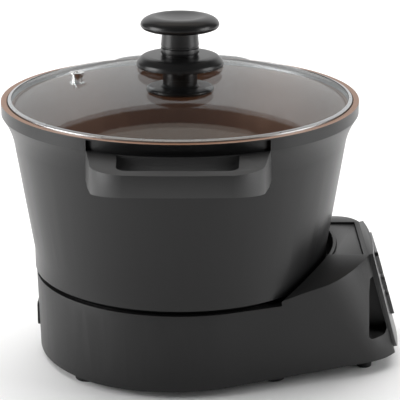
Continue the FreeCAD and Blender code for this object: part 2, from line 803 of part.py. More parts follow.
node("sensor_bracket", cut("sensor_bracket", bracket_blank,
                           cylinder("guide_bore", guide_bore, 0, plate_top)))

# Thermal fuse, clipped under the shield
fuse_body = block("fuse_body", (fuse_x, fuse_y - 4, shield_low - 9),
                  (fuse_x + 16, fuse_y + 4, shield_low - 1), vector(1, 0, 0), 3)
node("thermal_fuse", fuse_body)
node("fuse_clip", block("fuse_clip", (fuse_x + 2, fuse_y - 12, shield_low - 1),
                        (fuse_x + 14, fuse_y + 12, shield_low)))

# ---------------------------------------------------------------- electrics in the base

power_board_x = panel_top_x - power_board_length - power_board_back
power_board_top = power_board_low + board_thick
node("power_board", block("power_board", (power_board_x, -power_board_half, power_board_low),
                          (power_board_x + power_board_length, power_board_half, power_board_top)))
pillars = [cylinder(f"pillar{number}", 3, cover_top, power_board_low, power_board_x + pillar_x,
                    (power_board_half - 5) * side)
           for number, (pillar_x, side) in enumerate(((5, -1), (39, -1), (5, 1), (39, 1)), 1)]
node("board_pillars", grouped("board_pillars", *pillars))
node("power_relay", block("power_relay", (power_board_x + 6, 6, power_board_top),
                          (power_board_x + 26, 22, power_board_top + 15)))
node("transformer", block("transformer", (power_board_x + 8, -24, power_board_top),
                          (power_board_x + 30, 0, power_board_top + 18)))

# Mains inlet: a socket body with three blades standing in its cavity
inlet_front = base_radius + inlet_proud
inlet_body = block("inlet_body", (-inlet_front, -(inlet_half - 0.2), inlet_low + 0.2),
                   (-(inlet_front - inlet_depth), inlet_half - 0.2, inlet_high - 0.2), vector(1, 0, 0), 3)
inlet_cavity = block("inlet_cavity", (-(inlet_front + 1), -(inlet_half - inlet_wall),
                                      inlet_low + inlet_wall),
                     (-(inlet_front - inlet_depth + 4), inlet_half - inlet_wall, inlet_high - inlet_wall),
                     vector(1, 0, 0), 2)
node("power_inlet", cut("power_inlet", inlet_body, inlet_cavity))
inlet_middle = (inlet_low + inlet_high) / 2
blades = [block(f"blade{number}", (-(inlet_front - 6), blade_y - 1, inlet_middle + blade_z - 2),
                (-(inlet_front - inlet_depth + 4), blade_y + 1, inlet_middle + blade_z + 2))
          for number, (blade_y, blade_z) in enumerate(((-7, -2), (7, -2), (0, 2)), 1)]
node("inlet_blades", grouped("inlet_blades", *blades))

# Two mains leads, laid inside from the inlet to the power board
lead_start = -(inlet_front - inlet_depth)


def lead(label, side):
    """Straight runs joined by tangent arcs, in one plane above the cover."""
    height = inlet_middle.value - 4
    start_x = lead_start.value
    board_x = power_board_x.value
    inlet_y = 7 * side
    out_y = 62 * side
    board_y = 24 * side
    points = [(start_x, inlet_y), (start_x + 22, inlet_y), (start_x + 54, out_y), (board_x - 52, out_y),
              (board_x - 22, board_y), (board_x + 2, board_y)]
    points = [vector(x, y, height) for x, y in points]
    edges = []
    last = points[0]
    for before, turn, after in zip(points, points[1:], points[2:]):
        inward = (before - turn).normalize()
        onward = (after - turn).normalize()
        reach = 12
        start = turn + inward * reach
        end = turn + onward * reach
        half = inward.getAngle(onward) / 2
        centre = turn + (inward + onward).normalize() * (reach / math.cos(half))
        middle = centre + (turn - centre).normalize() * (reach * math.tan(half))
        edges += [Part.LineSegment(last, start).toShape(), Part.Arc(start, middle, end).toShape()]
        last = end
    edges.append(Part.LineSegment(last, points[-1]).toShape())
    section = Part.Wire(Part.makeCircle(lead_radius.value, points[0], vector(1, 0, 0)))
    item = doc.addObject("Part::Feature", label)
    item.Shape = Part.Wire(edges).makePipeShell([section], True, False)
    return item


node("mains_leads", grouped("mains_leads", lead("lead1", -1), lead("lead2", 1)))

# ---------------------------------------------------------------- control panel, in its own leaning frame

fascia_middle = fascia_edge + fascia_bulge
fascia_face_radius = (panel_half_foot * panel_half_foot + fascia_bulge * fascia_bulge) / (2 * fascia_bulge)


def half_at(height):
    return between(panel_half_foot, panel_half_top, height / panel_height)


fascia_plan = drawn("fascia_plan", [
    (-(panel_half_foot - fascia_round), 0), (panel_half_foot - fascia_round, 0),
    (half_at(fascia_round), fascia_round),
    (panel_half_top, panel_height), (-panel_half_top, panel_height),
    (-half_at(fascia_round), fascia_round)],
    {1: fascia_round, 5: fascia_round}, plane="YZ")
fascia_blank = common("fascia_blank", extruded("fascia_plate", fascia_plan, fascia_middle),
                      cylinder("fascia_face", fascia_face_radius, -10, panel_height + 10,
                               x=fascia_middle - fascia_face_radius))
window_recess = block("window_recess", (fascia_back, -window_half - 0.2, window_low - 0.2),
                      (fascia_middle + 5, window_half + 0.2, window_high + 0.2), vector(1, 0, 0), 3)
display_hole = block("display_hole", (-1, -window_half + 3, window_low + 3),
                     (fascia_back + 1, window_half - 3, window_high - 3))

keys = []
for row, (low, high) in (("upper", (upper_key_low, upper_key_high)),
                         ("lower", (lower_key_low, lower_key_high))):
    for number, column in ((1, -1), (2, 0), (3, 1)):
        keys.append((f"{row}_key{number}", key_pitch * column, low, high))
key_holes = [block(f"{name}_hole", (-1, middle - key_half - body_gap, low - body_gap),
                   (fascia_middle + 5, middle + key_half + body_gap, high + body_gap), vector(1, 0, 0), 2)
             for name, middle, low, high in keys]
panel_node("control_fascia", cut("control_fascia", fascia_blank, window_recess, display_hole,
                                 grouped("key_holes", *key_holes)))
panel_node("display_window", block("display_window", (fascia_back, -window_half, window_low),
                                   (fascia_middle + window_proud, window_half, window_high),
                                   vector(1, 0, 0), 3))

board_front = -board_depth
panel_node("display_module", block("display_module", (board_front, -window_half + 3.5, window_low + 3.5),
                                   (board_front + module_depth, window_half - 3.5, window_high - 3.5)))
board_screw_spots = [(side * (board_half - screw_inset), height)
                     for side in (-1, 1) for height in (board_low + screw_inset, board_high - screw_inset)]
board_holes = [block(f"board_hole{number}", (board_front - board_thick - 1, y - 1.5, z - 1.5),
                     (board_front + 1, y + 1.5, z + 1.5))
               for number, (y, z) in enumerate(board_screw_spots, 1)]
board_blank = block("board_blank", (board_front - board_thick, -board_half, board_low),
                    (board_front, board_half, board_high))
panel_node("control_board", cut("control_board", board_blank, grouped("board_holes", *board_holes)))


def along_panel(label, radius, start, end, y, z):
    """A round bar along the panel's normal."""
    item = doc.addObject("Part::Cylinder", label)
    bind(item, "Radius", as_size(radius))
    bind(item, "Height", as_size(end) - start)
    item.Placement.Rotation = FreeCAD.Rotation(vector(0, 1, 0), 90)
    return put(item, start, y, z)


# Pillars stand on the fascia's back, and the board is screwed to them from behind
panel_pillars = []
panel_screws = []
for number, (y, z) in enumerate(board_screw_spots, 1):
    pillar = along_panel(f"panel_pillar{number}", 2.6, board_front, 0, y, z)
    panel_pillars.append(cut(f"panel_pillar{number}", pillar,
                             along_panel(f"pillar_bore{number}", 1.1, board_front - 1, -2, y, z)))
    panel_screws.append(joined(f"board_screw{number}",
                               along_panel(f"board_screw_shank{number}", 1.1, board_front - board_thick,
                                           -3, y, z),
                               along_panel(f"board_screw_head{number}", 2.2,
                                           board_front - board_thick - 1.4,
                                           board_front - board_thick, y, z)))
panel_node("panel_pillars", grouped("panel_pillars", *panel_pillars))
panel_node("board_screws", grouped("board_screws", *panel_screws))

# Push keys: a cap through the fascia, a flange behind it, and a stem over a tact switch
switches = []
for name, middle, low, high in keys:
    centre = (low + high) / 2
    cap = block(f"{name}_cap", (-body_gap - key_flange, middle - key_half, low),
                (fascia_middle + key_proud, middle + key_half, high),
                vector(1, 0, 0), 1.7)
    flange = block(f"{name}_flange", (-body_gap - key_flange, middle - key_half - 1, low - 1),
                   (-body_gap, middle + key_half + 1, high + 1))
    stem_end = board_front + switch_height + body_gap + key_travel
    stem = block(f"{name}_stem", (stem_end, middle - stem_half, centre - stem_half),
                 (-body_gap, middle + stem_half, centre + stem_half))
    panel_node(name, joined(name, cap, flange, stem))
    switches.append(block(f"{name}_switch", (board_front, middle - 3, centre - 3),
                          (board_front + switch_height, middle + 3, centre + 3)))
panel_node("tact_switches", grouped("tact_switches", *switches))

# ---------------------------------------------------------------- pot and handles

outer_profile = [(0, pot_bottom), (pot_foot_radius, pot_bottom),
                 (pot_foot_radius, shoulder_height - foot_step),
                 (waist_radius, shoulder_height), (waist_radius, waist_height), (kink_radius, kink_height),
                 (rim_radius, rim_top - rim_band), (rim_radius, rim_top)]
inner_floor = pot_bottom + pot_floor
ledge_radius = rim_radius - rim_width
bowl_profile = [(ledge_radius, rim_top), (ledge_radius, lid_seat), (ledge_radius - ledge_width, lid_seat),
                (kink_radius - pot_wall, kink_height), (waist_radius - pot_wall, waist_height),
                (waist_radius - pot_wall, shoulder_height + 1),
                (pot_foot_radius - pot_wall, shoulder_height - foot_step),
                (pot_foot_radius - pot_wall, inner_floor), (0, inner_floor)]
pot_blank = turned("pot_blank", outer_profile + [(0, rim_top)], {5: -flare_radius})
pot = turned("pot_turned", outer_profile + bowl_profile, {5: -flare_radius},
             rounds=[(pot_foot_radius, pot_bottom, base_round),
                     (pot_foot_radius - pot_wall, inner_floor, floor_round)])
setback_ring = cut("setback_ring", cylinder("setback_outer", rim_radius + 5, handle_top, rim_top - 1),
                   cylinder("setback_inner", rim_radius - band_setback, handle_top - 1, rim_top + 1))
setback_reach = block("setback_reach", (-band_half, -rim_radius - 5, handle_top - 1),
                      (band_half, rim_radius + 5, rim_top + 1))
setback = common("setback", setback_ring, setback_reach)

# Each handle is a loop: a flat-topped grip that reaches out on two arms, its underside climbing outwards
handle_low = handle_top - handle_depth
grip_y = handle_reach - grip_depth
handle_plan = [(-handle_half_wall, rim_radius - 40), (handle_half_wall, rim_radius - 40),
               (handle_half_corner, handle_corner_y),
               (handle_half_front, handle_front_y), (-handle_half_front, handle_front_y),
               (-handle_half_corner, handle_corner_y)]
finger_plan = [(-finger_half_wall, 0), (finger_half_wall, 0), (finger_half_front, grip_y - finger_round),
               (finger_half_front - finger_round, grip_y), (-(finger_half_front - finger_round), grip_y),
               (-finger_half_front, grip_y - finger_round)]
gap_wall = rim_radius + 1


def handle_solid(label):
    """The loop before it is fitted to the pot, reaching towards +Y."""
    plan = extruded(f"{label}_plan", drawn(f"{label}_plan", handle_plan, {
        2: handle_corner_round, 3: front_bow, 4: handle_corner_round}, lift=handle_low), handle_depth)
    under = drawn(f"{label}_under", [
        (rim_radius - 10, handle_low - 5), (handle_reach + 5, handle_low - 5),
        (handle_reach + 5, handle_low + handle_slope * 1.1), (rim_radius - 10, handle_low)], plane="YZ",
        lift=-100)
    fingers = extruded(f"{label}_fingers", drawn(f"{label}_fingers", finger_plan, {
        2: finger_round, 4: finger_round}, lift=handle_low - 10), handle_depth + 20)
    reach = cut(f"{label}_gap", fingers, cylinder(f"{label}_core", gap_wall, handle_low - 20,
                                                  handle_top + 20))
    return cut(label, plan, extruded(f"{label}_under", under, 200), reach)


stud_z = handle_top - stud_drop


def stud(label, x, y_side):
    """A threaded stud cast into the wall and run into the handle's arm."""
    start = math.sqrt(between(kink_radius, rim_radius, 0.5).value ** 2 - stud_x.value ** 2) - 3
    item = doc.addObject("Part::Cylinder", label)
    bind(item, "Radius", stud_radius)
    bind(item, "Height", stud_depth)
    item.Placement.Rotation = FreeCAD.Rotation(vector(1, 0, 0), -90 * y_side)
    return put(item, x, start * y_side, stud_z)


studs = [stud(f"stud{number}", stud_x * x_side, y_side)
         for number, (x_side, y_side) in enumerate(((-1, -1), (1, -1), (-1, 1), (1, 1)), 1)]
stud_group = grouped("studs", *studs)
node("pot_body", cut("pot_body", pot, setback, stud_group))
for label, turn in (("front_handle", 180), ("rear_handle", 0)):
    loop = grouped(label, handle_solid(label))
    loop.Placement.Rotation = FreeCAD.Rotation(vector(0, 0, 1), turn)
    node(label, cut(f"{label}_fitted", loop, pot_blank, stud_group))
node("handle_studs", stud_group)

# ---------------------------------------------------------------- lid

glass_radius = lid_radius - band_sheet
outer_dome = (glass_radius * glass_radius + dome_rise * dome_rise) / (2 * dome_rise)


def dome_height(radius):
    """Height of the glass's upper face at a distance from the axis."""
    return glass_edge_z + dome_rise - outer_dome + root(outer_dome * outer_dome - radius * radius)


inner_glass = outer_dome - glass_thick
lower_edge = glass_edge_z - glass_thick


def dome_under(radius):
    return glass_edge_z + dome_rise - outer_dome + root(inner_glass * inner_glass - radius * radius)


glass_inner_edge = root(inner_glass * inner_glass - (lower_edge - glass_edge_z - dome_rise + outer_dome)
                        * (lower_edge - glass_edge_z - dome_rise + outer_dome))
glass = turned("glass_blank", [
    (knob_hole, dome_under(knob_hole)), (glass_inner_edge, lower_edge), (glass_radius, lower_edge),
    (glass_radius, glass_edge_z), (knob_hole, dome_height(knob_hole))], {0: -inner_glass, 3: outer_dome})
node("glass_lid", cut("glass_lid", glass, cylinder("vent_hole", vent_radius - 1.5 + seam_gap, rim_top,
                                                   rim_top + dome_rise + 5, x=-vent_spot)))

# Rolled steel band round the glass's edge; it stands on the pot's ledge
band_low = lid_seat + body_gap
band_inner = lid_radius - lid_band_width
lip_low = dome_height(band_inner) + seam_gap
node("lid_rim_band", turned("lid_rim_band", [
    (band_inner, band_low), (lid_radius, band_low), (lid_radius, glass_edge_z + band_sheet),
    (band_inner, lip_low + band_sheet),
    (band_inner, lip_low), (glass_radius, glass_edge_z + seam_gap), (glass_radius, lower_edge - seam_gap),
    (band_inner, lower_edge - seam_gap)]))

# Steam vent: a flanged eyelet through the glass
vent_top = dome_height(vent_spot)
vent_under = dome_under(vent_spot)
barrel = vent_radius - 1.5
eyelet = turned("eyelet", [
    (vent_bore, vent_under - vent_seat - 0.8), (vent_radius, vent_under - vent_seat - 0.8),
    (vent_radius, vent_under - vent_seat),
    (barrel, vent_under - vent_seat), (barrel, vent_top + vent_seat), (vent_radius, vent_top + vent_seat),
    (vent_radius, vent_top + vent_seat + 0.9), (vent_bore, vent_top + vent_seat + 0.9)])
node("steam_vent", eyelet, x=-vent_spot)

# Knob, held by one screw from below: washer, flange and knob above the glass, washer and inner knob under it
flange_hub = dome_height(knob_hole) + washer_thick
flange_skirt = dome_height(flange_radius) + body_gap
flange_top = flange_skirt + flange_height
node("outer_washer", turned("outer_washer", [
    (knob_hole, dome_height(knob_hole)), (neck_radius, dome_height(neck_radius)),
    (neck_radius, flange_hub), (knob_hole, flange_hub)],
    {0: -outer_dome}))
node("knob_flange", turned("knob_flange", [
    (knob_hole, flange_hub), (neck_radius, flange_hub), (flange_radius - 2, flange_skirt),
    (flange_radius, flange_skirt),
    (flange_radius, flange_top - flange_chamfer), (flange_radius - flange_chamfer, flange_top),
    (knob_hole, flange_top)]))
cap_low = flange_top + cap_rise
cap_top = cap_low + cap_thick
cap_height_side = (cap_low + cap_top) / 2
node("lid_knob", turned("lid_knob", [
    (screw_core, flange_top), (neck_radius - 1, flange_top), (neck_radius - 1, flange_top + neck_step),
    (neck_radius, flange_top + neck_step), (neck_radius - 1.5, cap_low), (cap_radius - 6, cap_low),
    (cap_radius, cap_height_side - 1),
    (cap_radius - 6, cap_top), (0, cap_top - dish), (0, cap_low), (screw_core, cap_low)], {5: 9, 6: 9}))
under_hub = dome_under(inner_post)
node("inner_washer", turned("inner_washer", [
    (knob_hole, under_hub - washer_thick), (inner_post, under_hub - washer_thick), (inner_post, under_hub),
    (knob_hole, dome_under(knob_hole))]))
post_top = under_hub - washer_thick
inner_low = rim_top + inner_drop
node("inner_knob", turned("inner_knob", [
    (0, inner_low), (inner_disc - 1, inner_low), (inner_disc, inner_low + 1),
    (inner_disc, inner_low + disc_thick - 1),
    (inner_disc - 1, inner_low + disc_thick), (inner_post, inner_low + disc_thick), (inner_post, post_top),
    (screw_core, post_top),
    (screw_core, post_top - 3), (0, post_top - 3)]))
node("knob_screw", turned("knob_screw", [
    (0, post_top - 3), (screw_core, post_top - 3), (screw_core, cap_low), (0, cap_low)]))

# ---------------------------------------------------------------- check and write

doc.recompute()
for item in doc.Objects:
    if "Invalid" in item.State or "Error" in item.State:
        raise RuntimeError(f"{item.Label} did not build: {item.State}")
for label, item in nodes.items():
    shape = item.Shape
    if shape.isNull() or not shape.isValid() or not shape.Solids:
        raise RuntimeError(f"{label} has no sound shape")
    if len(shape.Solids) == 1:
        shape = shape.Solids[0]
    shape.exportStep(f"parts/{label}.step")
    print(f"{label}: {len(item.Shape.Solids)} solid(s), {item.Shape.Volume / 1000:.1f} cm3")
print(f"{len(nodes)} nodes, pot axis at X = {pot_axis_x.value:.2f}")
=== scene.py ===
import math

import bmesh
import bpy
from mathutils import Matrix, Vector


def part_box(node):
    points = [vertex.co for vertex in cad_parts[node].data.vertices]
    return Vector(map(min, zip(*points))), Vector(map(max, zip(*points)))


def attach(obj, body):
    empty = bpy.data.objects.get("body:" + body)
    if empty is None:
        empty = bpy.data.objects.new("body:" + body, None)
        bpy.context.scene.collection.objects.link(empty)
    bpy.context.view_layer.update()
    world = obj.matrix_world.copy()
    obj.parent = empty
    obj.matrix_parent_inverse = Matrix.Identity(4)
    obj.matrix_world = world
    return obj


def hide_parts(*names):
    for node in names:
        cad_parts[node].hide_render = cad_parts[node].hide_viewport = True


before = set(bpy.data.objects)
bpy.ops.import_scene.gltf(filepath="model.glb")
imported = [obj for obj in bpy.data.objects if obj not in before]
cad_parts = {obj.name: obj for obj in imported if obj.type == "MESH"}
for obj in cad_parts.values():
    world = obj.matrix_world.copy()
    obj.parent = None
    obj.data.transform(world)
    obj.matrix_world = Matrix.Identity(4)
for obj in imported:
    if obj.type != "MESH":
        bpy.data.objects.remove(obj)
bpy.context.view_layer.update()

# ---------------------------------------------------------------- studio
# A plain pale floor under soft light: a tall panel on each side, a dim warm one above and a wide backdrop.
# A wash whitens the floor and stays out of the gloss. The camera looks down on the lid from in front,
# on a long lens, a little to the right of the pot's axis.
pot_low, pot_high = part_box("pot_body")
pot_x = (pot_low.x + pot_high.x) / 2
rim_z = pot_high.z
scene = bpy.context.scene

floor_side = 14
bpy.ops.mesh.primitive_plane_add(size=floor_side)
floor = bpy.context.object
floor.name = "studio_floor"
floor_paint = bpy.data.materials.new("studio_floor")
floor_paint.use_nodes = True
floor_shader = floor_paint.node_tree.nodes["Principled BSDF"]
floor_shader.inputs["Base Color"].default_value = (0.9, 0.9, 0.9, 1)
floor_shader.inputs["Roughness"].default_value = 0.85
floor_shader.inputs["Specular IOR Level"].default_value = 0.1
floor.data.materials.append(floor_paint)


def soft_panel(name, place, aim, width, height, watts, tint=(1, 1, 1)):
    """One area light at a place, facing a point."""
    light = bpy.data.lights.new(name, "AREA")
    light.shape = "RECTANGLE"
    light.size = width
    light.size_y = height
    light.energy = watts
    light.color = tint
    lamp = bpy.data.objects.new(name, light)
    lamp.location = place
    lamp.rotation_euler = (Vector(aim) - Vector(place)).to_track_quat("-Z", "Y").to_euler()
    scene.collection.objects.link(lamp)
    return lamp


middle = (pot_x, 0, 0.14)
soft_panel("left_panel", (-1.45, -0.35, 0.5), middle, width=0.9, height=1.1, watts=22)
soft_panel("right_panel", (1.5, -0.3, 0.5), middle, width=0.8, height=1.1, watts=14)
soft_panel("top_panel", (0.0, 0.7, 1.9), middle, width=2.0, height=0.9, watts=3.6, tint=(1.0, 0.9, 0.8))
soft_panel("backdrop", (0.0, 3.6, 1.6), (0, 0, 1.2), width=6.0, height=3.4, watts=56)
wash = soft_panel("floor_wash", (0.0, 1.6, 2.6), (0, 1.6, 0), width=4.5, height=3.5, watts=150)
wash.visible_glossy = False

room = bpy.data.worlds.new("studio_room")
room.use_nodes = True
room_light = room.node_tree.nodes["Background"]
room_light.inputs["Color"].default_value = (1, 1, 1, 1)
room_light.inputs["Strength"].default_value = 0.07
scene.world = room

camera_right, camera_back, camera_over_rim = 0.0158, 1.231, 0.3106
camera_down_angle = 17.9
camera_data = bpy.data.cameras.new("camera")
camera_data.lens = 143.1
camera_data.sensor_width = 36
camera_data.clip_end = 50
camera = bpy.data.objects.new("camera", camera_data)
camera.location = (pot_x + camera_right, -camera_back, rim_z + camera_over_rim)
camera.rotation_euler = (math.radians(90 - camera_down_angle), 0, 0)
scene.collection.objects.link(camera)
scene.camera = camera
scene.view_settings.view_transform = "Standard"

# ---------------------------------------------------------------- pot
# The pot is a thick aluminium casting with a flared rim, sprayed satin black outside.
# A bronze non-stick coat covers the inside and wraps over the top of the rim.


class Wire:
    """One output of a node, so that shader maths is written as ordinary maths."""

    def __init__(self, finish, socket):
        self.finish = finish
        self.socket = socket

    def joined(self, operation, first, second):
        return self.finish.add("ShaderNodeMath", {"operation": operation}, {0: first, 1: second})

    def __add__(self, other):
        return self.joined("ADD", self, other)

    def __radd__(self, other):
        return self.joined("ADD", other, self)

    def __mul__(self, other):
        return self.joined("MULTIPLY", self, other)

    def __rmul__(self, other):
        return self.joined("MULTIPLY", other, self)

    def __pow__(self, other):
        return self.joined("POWER", self, other)


class Finish:
    """A material built from one Principled shader; its constants are set straight on the sockets."""

    def __init__(self, name, colour, roughness, **constants):
        self.material = bpy.data.materials.new(name)
        self.material.use_nodes = True
        self.tree = self.material.node_tree
        self.shader = self.tree.nodes["Principled BSDF"]
        self.shader.inputs["Base Color"].default_value = (*colour, 1)
        self.shader.inputs["Roughness"].default_value = roughness
        for socket, value in constants.items():
            self.shader.inputs[socket.replace("_", " ")].default_value = value
        self.place = self.add("ShaderNodeTexCoord", output="Object")

    def add(self, kind, settings=None, sockets=None, output=0):
        """Any node: its settings first, then the values or links of its sockets."""
        node = self.tree.nodes.new(kind)
        for setting, value in (settings or {}).items():
            setattr(node, setting, value)
        for socket, value in (sockets or {}).items():
            if isinstance(value, Wire):
                self.tree.links.new(value.socket, node.inputs[socket])
            else:
                node.inputs[socket].default_value = value
        return Wire(self, node.outputs[output])

    def feed(self, socket, wire):
        self.tree.links.new(wire.socket, self.shader.inputs[socket])

    def noise(self, scale, detail=2.0, place=None):
        sockets = {"Vector": place or self.place, "Scale": scale, "Detail": detail}
        return self.add("ShaderNodeTexNoise", {}, sockets)

    def mixed(self, share, first, second):
        """A blend of two colours."""
        pair = {"Factor": share, 6: (*first, 1), 7: (*second, 1)}
        return self.add("ShaderNodeMix", {"data_type": "RGBA"}, pair, output=2)

    def bumped(self, height, depth, strength):
        sockets = {"Height": height, "Distance": depth, "Strength": strength}
        self.feed("Normal", self.add("ShaderNodeBump", {}, sockets))


def satin_coat(name, colour, roughness, grain, depth, specular=0.35):
    """A satin surface with a fine even grain and faint patches of sheen."""
    finish = Finish(name, colour, roughness, Specular_IOR_Level=specular)
    patches = finish.noise(9.0, 3.0)
    lighter = [min(1, channel * 1.25) for channel in colour]
    spread = 0.08
    finish.feed("Base Color", finish.mixed(patches, colour, lighter))
    finish.feed("Roughness", patches * spread + (roughness - spread / 2))
    finish.bumped(finish.noise(grain, 1.5), depth, strength=0.6)
    return finish.material


def brushed_metal(name, colour, roughness, grain, stretch):
    """Bare metal with fine marks drawn out along one axis."""
    finish = Finish(name, colour, roughness, Metallic=1.0)
    drawn_out = finish.add("ShaderNodeMapping", {}, {"Vector": finish.place, "Scale": stretch})
    marks = finish.noise(grain, place=drawn_out)
    duller = [channel * 0.8 for channel in colour]
    spread = 0.16
    finish.feed("Base Color", finish.mixed(marks, duller, colour))
    finish.feed("Roughness", marks * spread + (roughness - spread / 2))
    finish.bumped(marks, depth=0.00004, strength=0.5)
    return finish.material


def finished(name, shape, material, crease=35):
    """Close a bmesh, point its faces outwards and give it its name and material."""
    bmesh.ops.remove_doubles(shape, verts=shape.verts[:], dist=1e-6)
    bmesh.ops.recalc_face_normals(shape, faces=shape.faces[:])
    mesh = bpy.data.meshes.new(name)
    shape.to_mesh(mesh)
    shape.free()
    mesh.shade_smooth()
    mesh.set_sharp_from_angle(angle=math.radians(crease))
    mesh.materials.append(material)
    piece = bpy.data.objects.new(name, mesh)
    scene.collection.objects.link(piece)
    return piece


def softened(node, material, body, edge, smooth=30):
    """A copy of a CAD piece with its sharp corners rounded over, as a mould or a file leaves them."""
    crease = math.radians(28)
    shape = bmesh.new()
    shape.from_mesh(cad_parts[node].data)
    bmesh.ops.remove_doubles(shape, verts=shape.verts[:], dist=1e-6)
    bmesh.ops.dissolve_limit(shape, angle_limit=math.radians(1), verts=shape.verts[:], edges=shape.edges[:])
    sharp = [corner for corner in shape.edges
             if corner.is_manifold and corner.calc_face_angle(0) > crease]
    bmesh.ops.bevel(shape, geom=sharp, offset=edge, offset_type="OFFSET", affect="EDGES", segments=3,
                    profile=0.5, material=-1, clamp_overlap=True)
    piece = finished(f"{node}_skin", shape, material, smooth)
    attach(piece, body)
    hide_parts(node)
    return piece


def dressed(node, material):
    """Give a CAD piece that keeps its own mesh its finish."""
    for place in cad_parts[node].material_slots:
        place.material = material


pot_paint = satin_coat("pot_satin", (0.0065, 0.0065, 0.0067), roughness=0.34, grain=1500, depth=0.00006)
bronze = Finish("bronze_coat", (0.2, 0.1, 0.055), roughness=0.36, Metallic=0.25, Specular_IOR_Level=0.5)
dark_bronze, light_bronze = (0.16, 0.078, 0.042), (0.26, 0.135, 0.078)
bronze.feed("Base Color", bronze.mixed(bronze.noise(900), dark_bronze, light_bronze))
bronze.bumped(bronze.noise(420), depth=0.00005, strength=0.5)
pot = softened("pot_body", pot_paint, "pot", edge=0.0006, smooth=5)
pot.data.materials.append(bronze.material)
foot_top = pot_low.z + 0.002
rim_top = rim_z - 0.006
rim_r = (pot_high.x - pot_low.x) / 2
inside_r = rim_r * 0.9
for face in pot.data.polygons:
    outward = Vector((face.center.x - pot_x, face.center.y, 0)).normalized()
    reach = math.hypot(face.center.x - pot_x, face.center.y)
    faces_up = face.normal.z > 0.5 and (face.center.z > rim_top or reach < inside_r)
    faces_in = face.normal.dot(outward) < -0.2
    coated = (faces_up or faces_in) and face.center.z > foot_top
    face.material_index = 1 if coated else 0

# ---------------------------------------------------------------- loop handles
# Each handle is a phenolic moulding in satin black, with a broad flat top and a finger gap behind its bar.
# It sits under the rim on two steel studs that are cast into the pot's wall.
handle_paint = satin_coat("handle_satin", (0.01, 0.01, 0.0102), roughness=0.52, grain=1700, depth=0.00006,
                          specular=0.6)
for side in ("front", "rear"):
    softened(f"{side}_handle", handle_paint, "pot", edge=0.0022)
zinc = brushed_metal("zinc_plate", (0.5, 0.51, 0.53), roughness=0.36, grain=300, stretch=(1, 1, 4))
dressed("handle_studs", zinc)

# ---------------------------------------------------------------- glass lid
# A domed lid of clear tempered glass, pressed with one hole for the knob's screw and one for the steam vent.
# A rolled band of light steel grips its edge and rests on the ledge inside the pot's rim.
glass = Finish("tempered_glass", (0.82, 0.88, 0.9), roughness=0.04, Metallic=1.0)
edge_on = glass.add("ShaderNodeLayerWeight", {}, {"Blend": 0.5}, output=1)
wiped = glass.noise(14, 3.0)
clear_veil, edge_veil, smears = 0.05, 0.24, 0.02
glass.feed("Alpha", edge_on ** 2.5 * edge_veil + (wiped * smears + clear_veil))
glass.feed("Roughness", wiped * 0.05 + 0.02)
dressed("glass_lid", glass.material)
band_steel = brushed_metal("band_steel", (0.62, 0.63, 0.64), roughness=0.3, grain=220, stretch=(1, 1, 12))
softened("lid_rim_band", band_steel, "lid", edge=0.00025)
vent_steel = brushed_metal("vent_steel", (0.78, 0.78, 0.77), roughness=0.2, grain=500, stretch=(1, 1, 5))
softened("steam_vent", vent_steel, "lid", edge=0.0003)

# ---------------------------------------------------------------- knob
# The knob is a phenolic mushroom on a flange: a shallow dish in its cap, and a groove round its neck.
# One screw from under the glass pulls it, a silicone washer on each side and the inner knob together.
silicone = satin_coat("black_silicone", (0.02, 0.02, 0.02), roughness=0.6, grain=900, depth=0.00005)
phenolic = satin_coat("knob_phenolic", (0.009, 0.009, 0.0092), roughness=0.3, grain=1300, depth=0.00004,
                      specular=0.4)


def turned(name, profile, node):
    """Spin a profile of (radius, height, corner round) about the pot's axis, to stand for a CAD node."""
    shape = bmesh.new()
    corners = [shape.verts.new((radius, 0, height)) for radius, height, _ in profile]
    for pair in zip(corners, corners[1:]):
        shape.edges.new(pair)
    for corner, (_, _, fillet) in zip(corners, profile):
        if fillet:
            bmesh.ops.bevel(shape, geom=[corner], offset=fillet, offset_type="OFFSET", affect="VERTICES",
                            segments=5, profile=0.5, material=-1)
    bmesh.ops.spin(shape, geom=shape.verts[:] + shape.edges[:], cent=(0, 0, 0), axis=(0, 0, 1),
                   angle=math.tau, steps=144, use_merge=True)
    bmesh.ops.translate(shape, verts=shape.verts[:], vec=(pot_x, 0, 0))
    piece = finished(name, shape, phenolic)
    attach(piece, "lid")
    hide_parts(node)


knob_low, knob_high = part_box("lid_knob")
cap_r = (knob_high.x - knob_low.x) / 2
cap_low_z = knob_high.z - 0.0105
neck_r, groove_r = 0.0152, 0.0143
widest_z, lip_r, crest_r = cap_low_z + 0.0036, cap_r - 0.006, cap_r - 0.0115
lip_drop, crown_rise, dish_depth = widest_z - cap_low_z, knob_high.z - widest_z, 0.0022
under_lip = [(lip_r + (cap_r - lip_r) * math.sin(turn), widest_z - lip_drop * math.cos(turn), 0)
             for turn in (0, 0.4, 0.8, 1.2)]
crown = [(crest_r + (cap_r - crest_r) * math.cos(turn), widest_z + crown_rise * math.sin(turn), 0)
         for turn in (0, 0.2, 0.4, 0.6, 0.8, 1.0, 1.2, 1.4, math.pi / 2)]
dish = [(crest_r * share, knob_high.z - dish_depth * (1 - share ** 2), 0)
        for share in (0.85, 0.65, 0.45, 0.2, 0)]
collar = [(radius, knob_low.z + height, fillet) for radius, height, fillet in (
    (0, 0, 0), (groove_r, 0, 0), (groove_r, 0.0015, 0), (neck_r, 0.0018, 0.0005), (neck_r, 0.006, 0.0004),
    (groove_r, 0.0064, 0), (groove_r, 0.0072, 0), (neck_r, 0.0076, 0.0004))]
turned("knob_cap", [*collar, (neck_r - 0.0012, cap_low_z, 0.001), *under_lip, *crown, *dish], "lid_knob")
flange_low, flange_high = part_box("knob_flange")
flange_r = (flange_high.x - flange_low.x) / 2
washer_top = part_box("outer_washer")[1].z
